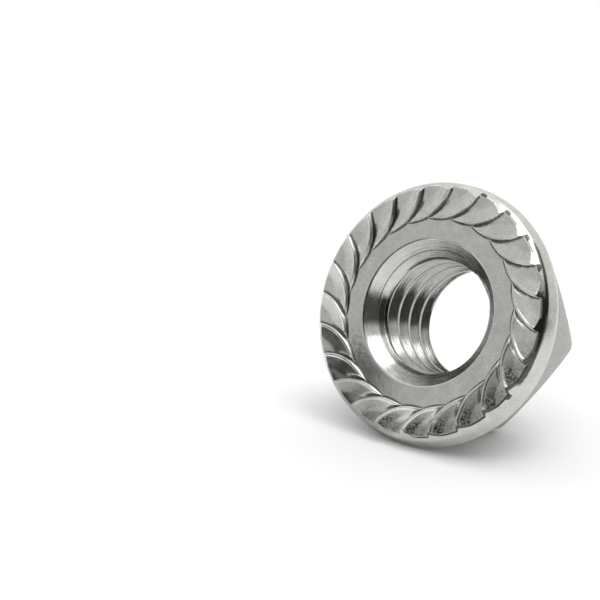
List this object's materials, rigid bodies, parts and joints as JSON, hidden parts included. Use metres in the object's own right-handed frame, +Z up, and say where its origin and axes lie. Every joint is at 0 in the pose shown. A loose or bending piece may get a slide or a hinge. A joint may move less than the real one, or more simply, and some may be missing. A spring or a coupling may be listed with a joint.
{
  "type": "serrated flange nut",
  "caption": "Hexagonal nut with a built-in washer flange whose bearing face carries slanted locking teeth, threaded through.",
  "frame": {"origin": "on the surface that the nut lies on, under the middle of its bounding box", "axes": "+Z up; the nut lies on its rim and on one flat of the hexagon, as it comes to rest. The bore's axis lies in the YZ plane: the toothed face looks towards -Y and a little up, and the domed top towards +Y and a little down. +X runs across the flange."},
  "size_m": [0.019, 0.013, 0.0181],
  "materials": {
    "steel": "satin bright stainless steel, as forged and tapped"
  },
  "bodies": {
    "root": {"flange_nut": "steel"}
  },
  "joints": []
}
